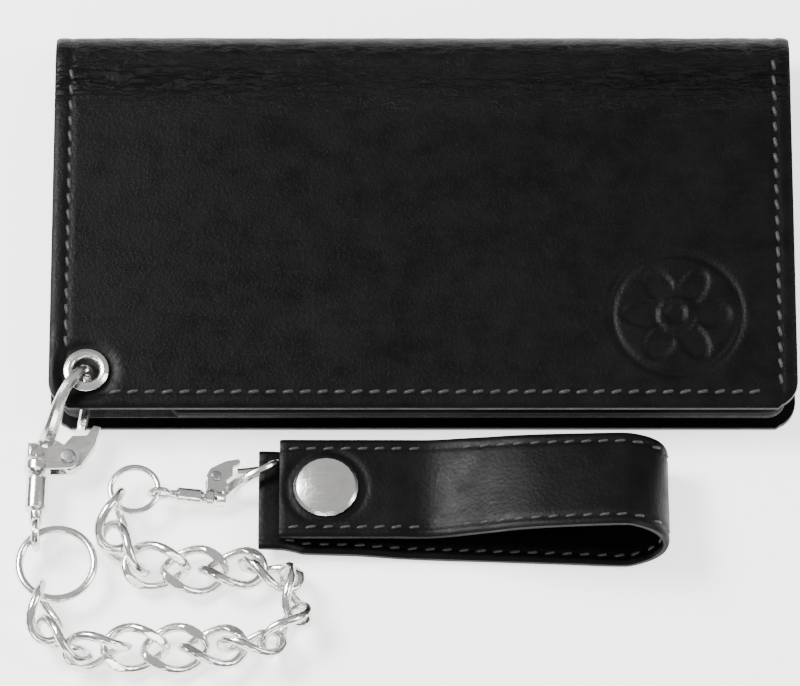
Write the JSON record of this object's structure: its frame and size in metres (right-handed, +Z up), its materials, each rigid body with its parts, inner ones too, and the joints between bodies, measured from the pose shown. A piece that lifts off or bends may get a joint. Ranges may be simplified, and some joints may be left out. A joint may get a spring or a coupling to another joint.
{
  "type": "chain wallet",
  "caption": "Black leather long bifold chain wallet with an eyelet, swivel snap hooks, a nickel curb chain and a leather belt loop with a snap.",
  "frame": {"origin": "middle of the back half's outer face, on the ground", "axes": "+X along the wallet's long side towards the end with the stamp, +Y from the chain to the fold, +Z up out of the front face"},
  "size_m": [0.1854, 0.1642, 0.0208],
  "materials": {
    "black_leather": "smooth full-grain leather, creased at the fold",
    "lining_cloth": "woven twill",
    "inner_leather": "thin split leather",
    "zip_tape": "woven tape",
    "brass": "polished",
    "nickel": "bright nickel plate",
    "steel": "plain steel"
  },
  "bodies": {
    "back_half": {"back_cover": "black_leather", "bill_lining": "lining_cloth", "bill_divider": "lining_cloth", "slip_pocket": "inner_leather", "coin_pocket": "inner_leather", "coin_zip_tape": "zip_tape", "coin_zip_teeth": "brass", "fold_spine": "black_leather"},
    "zip_slider": {"zip_slider": "brass"},
    "zip_pull": {"zip_pull": "brass"},
    "front_half": {"front_cover": "black_leather", "front_lining": "lining_cloth", "card_panel": "inner_leather", "card_pocket_1": "inner_leather", "card_pocket_2": "inner_leather", "card_pocket_3": "inner_leather", "eyelet": "nickel", "eyelet_washer": "nickel"},
    "hook_a": {"hook_a_body": "nickel", "hook_a_rivet": "steel", "hook_a_spring": "steel"},
    "hook_a_gate": {"hook_a_gate": "nickel"},
    "hook_a_swivel": {"hook_a_swivel": "nickel"},
    "ring_a": {"ring_a": "nickel"},
    "link_01": {"link_01": "nickel"},
    "link_02": {"link_02": "nickel"},
    "link_03": {"link_03": "nickel"},
    "link_04": {"link_04": "nickel"},
    "link_05": {"link_05": "nickel"},
    "link_06": {"link_06": "nickel"},
    "link_07": {"link_07": "nickel"},
    "link_08": {"link_08": "nickel"},
    "link_09": {"link_09": "nickel"},
    "link_10": {"link_10": "nickel"},
    "link_11": {"link_11": "nickel"},
    "link_12": {"link_12": "nickel"},
    "link_13": {"link_13": "nickel"},
    "link_14": {"link_14": "nickel"},
    "link_15": {"link_15": "nickel"},
    "ring_b": {"ring_b": "nickel"},
    "hook_b_swivel": {"hook_b_swivel": "nickel"},
    "hook_b": {"hook_b_body": "nickel", "hook_b_rivet": "steel", "hook_b_spring": "steel"},
    "hook_b_gate": {"hook_b_gate": "nickel"},
    "strap": {"strap_loop": "black_leather", "snap_stud": "steel", "snap_post": "steel"},
    "tongue": {"strap_tongue": "black_leather", "snap_cap": "nickel", "snap_socket": "steel"}
  },
  "joints": [
    {"name": "cover_open", "type": "hinge", "parent": "back_half", "child": "front_half", "pos_m": [0, 0.041, 0.009], "axis": [-1, 0, 0], "range_deg": [0, 175], "deforming": ["fold_spine"]},
    {"name": "zip_slide", "type": "slide", "parent": "back_half", "child": "zip_slider", "axis": [1, 0, 0], "range_m": [0, 0.132]},
    {"name": "zip_pull_lift", "type": "hinge", "parent": "zip_slider", "child": "zip_pull", "pos_m": [-0.066, 0.02, 0.0073], "axis": [0, -1, 0], "range_deg": [0, 14]},
    {"name": "hook_a_swing", "type": "hinge", "parent": "front_half", "child": "hook_a", "pos_m": [-0.08, -0.041, 0.013], "axis": [1, 0, 0], "range_deg": [-5, 1], "stiffness_Nm_per_rad": 0.05},
    {"name": "hook_a_gate_press", "type": "hinge", "parent": "hook_a", "child": "hook_a_gate", "pos_m": [-0.0842, -0.0604, 0.006], "axis": [0, 0, 1], "range_deg": [0, 5], "stiffness_Nm_per_rad": 0.05},
    {"name": "hook_a_turn", "type": "hinge", "parent": "hook_a", "child": "hook_a_swivel", "pos_m": [-0.0915, -0.065, 0.006], "axis": [0, 1, 0], "range_deg": [-30, 30], "stiffness_Nm_per_rad": 0.05},
    {"name": "ring_a_tip", "type": "hinge", "parent": "hook_a_swivel", "child": "ring_a", "pos_m": [-0.0915, -0.0798, 0.006], "axis": [1, 0, 0], "range_deg": [-12, 12], "stiffness_Nm_per_rad": 0.05},
    {"name": "link_01_sway", "type": "hinge", "parent": "ring_a", "child": "link_01", "pos_m": [-0.08964, -0.09504, 0.006], "axis": [0, 1, 0], "range_deg": [-15, 6], "stiffness_Nm_per_rad": 0.05},
    {"name": "link_02_sway", "type": "hinge", "parent": "link_01", "child": "link_02", "pos_m": [-0.08837, -0.10411, 0.00623], "axis": [0, -1, 0], "range_deg": [-12, 15], "stiffness_Nm_per_rad": 0.05},
    {"name": "link_03_sway", "type": "hinge", "parent": "link_02", "child": "link_03", "pos_m": [-0.08105, -0.10966, 0.00644], "axis": [0, 1, 0], "range_deg": [-15, 15], "stiffness_Nm_per_rad": 0.05},
    {"name": "link_04_sway", "type": "hinge", "parent": "link_03", "child": "link_04", "pos_m": [-0.07195, -0.10842, 0.00594], "axis": [0, -1, 0], "range_deg": [-15, 15], "stiffness_Nm_per_rad": 0.05},
    {"name": "link_05_sway", "type": "hinge", "parent": "link_04", "child": "link_05", "pos_m": [-0.06286, -0.1081, 0.00467], "axis": [0, 1, 0], "range_deg": [-15, 15], "stiffness_Nm_per_rad": 0.05},
    {"name": "link_06_sway", "type": "hinge", "parent": "link_05", "child": "link_06", "pos_m": [-0.05378, -0.10747, 0.0042], "axis": [0, -1, 0], "range_deg": [-15, 15], "stiffness_Nm_per_rad": 0.05},
    {"name": "link_07_sway", "type": "hinge", "parent": "link_06", "child": "link_07", "pos_m": [-0.04468, -0.10747, 0.00525], "axis": [0, 1, 0], "range_deg": [-15, 15], "stiffness_Nm_per_rad": 0.05},
    {"name": "link_08_sway", "type": "hinge", "parent": "link_07", "child": "link_08", "pos_m": [-0.03559, -0.10699, 0.00621], "axis": [0, -1, 0], "range_deg": [-4, 15], "stiffness_Nm_per_rad": 0.05},
    {"name": "link_09_sway", "type": "hinge", "parent": "link_08", "child": "link_09", "pos_m": [-0.02962, -0.10012, 0.00644], "axis": [0, 1, 0], "range_deg": [-15, 15], "stiffness_Nm_per_rad": 0.05},
    {"name": "link_10_sway", "type": "hinge", "parent": "link_09", "child": "link_10", "pos_m": [-0.03176, -0.09103, 0.00617], "axis": [0, -1, 0], "range_deg": [-15, 15], "stiffness_Nm_per_rad": 0.05},
    {"name": "link_11_sway", "type": "hinge", "parent": "link_10", "child": "link_11", "pos_m": [-0.0402, -0.08762, 0.00531], "axis": [0, 1, 0], "range_deg": [-15, 14], "stiffness_Nm_per_rad": 0.05},
    {"name": "link_12_sway", "type": "hinge", "parent": "link_11", "child": "link_12", "pos_m": [-0.04949, -0.08791, 0.00422], "axis": [0, -1, 0], "range_deg": [-15, 15], "stiffness_Nm_per_rad": 0.05},
    {"name": "link_13_sway", "type": "hinge", "parent": "link_12", "child": "link_13", "pos_m": [-0.05848, -0.08775, 0.00465], "axis": [0, 1, 0], "range_deg": [-15, 15], "stiffness_Nm_per_rad": 0.05},
    {"name": "link_14_sway", "type": "hinge", "parent": "link_13", "child": "link_14", "pos_m": [-0.06747, -0.08728, 0.00601], "axis": [0, -1, 0], "range_deg": [-15, 15], "stiffness_Nm_per_rad": 0.05},
    {"name": "link_15_sway", "type": "hinge", "parent": "link_14", "child": "link_15", "pos_m": [-0.07336, -0.08045, 0.00633], "axis": [0, 1, 0], "range_deg": [-12, 15], "stiffness_Nm_per_rad": 0.05},
    {"name": "ring_b_sway", "type": "hinge", "parent": "link_15", "child": "ring_b", "pos_m": [-0.0721, -0.0715, 0.0062], "axis": [0, 1, 0], "range_deg": [-2, 15], "stiffness_Nm_per_rad": 0.05},
    {"name": "hook_b_sway", "type": "hinge", "parent": "ring_b", "child": "hook_b_swivel", "pos_m": [-0.0624, -0.069, 0.0061], "axis": [0, 1, 0], "range_deg": [-30, 30], "stiffness_Nm_per_rad": 0.05},
    {"name": "hook_b_turn", "type": "hinge", "parent": "hook_b_swivel", "child": "hook_b", "pos_m": [-0.0508, -0.069, 0.0036], "axis": [0.9781, 0, -0.2079], "range_deg": [-8, 30], "stiffness_Nm_per_rad": 0.05},
    {"name": "hook_b_gate_press", "type": "hinge", "parent": "hook_b", "child": "hook_b_gate", "pos_m": [-0.04943, -0.06389, 0.00331], "axis": [-0.2079, 0, -0.9781], "range_deg": [0, 5], "stiffness_Nm_per_rad": 0.05},
    {"name": "strap_swing", "type": "hinge", "parent": "hook_b", "child": "strap", "pos_m": [-0.0349, -0.0612, 0.0043], "axis": [0, 1, 0], "range_deg": [-2, 15], "stiffness_Nm_per_rad": 0.05},
    {"name": "snap_open", "type": "hinge", "parent": "strap", "child": "tongue", "pos_m": [0.00215, -0.0685, 0.0086], "axis": [0, 1, 0], "range_deg": [0, 70], "stiffness_Nm_per_rad": 0.3}
  ]
}
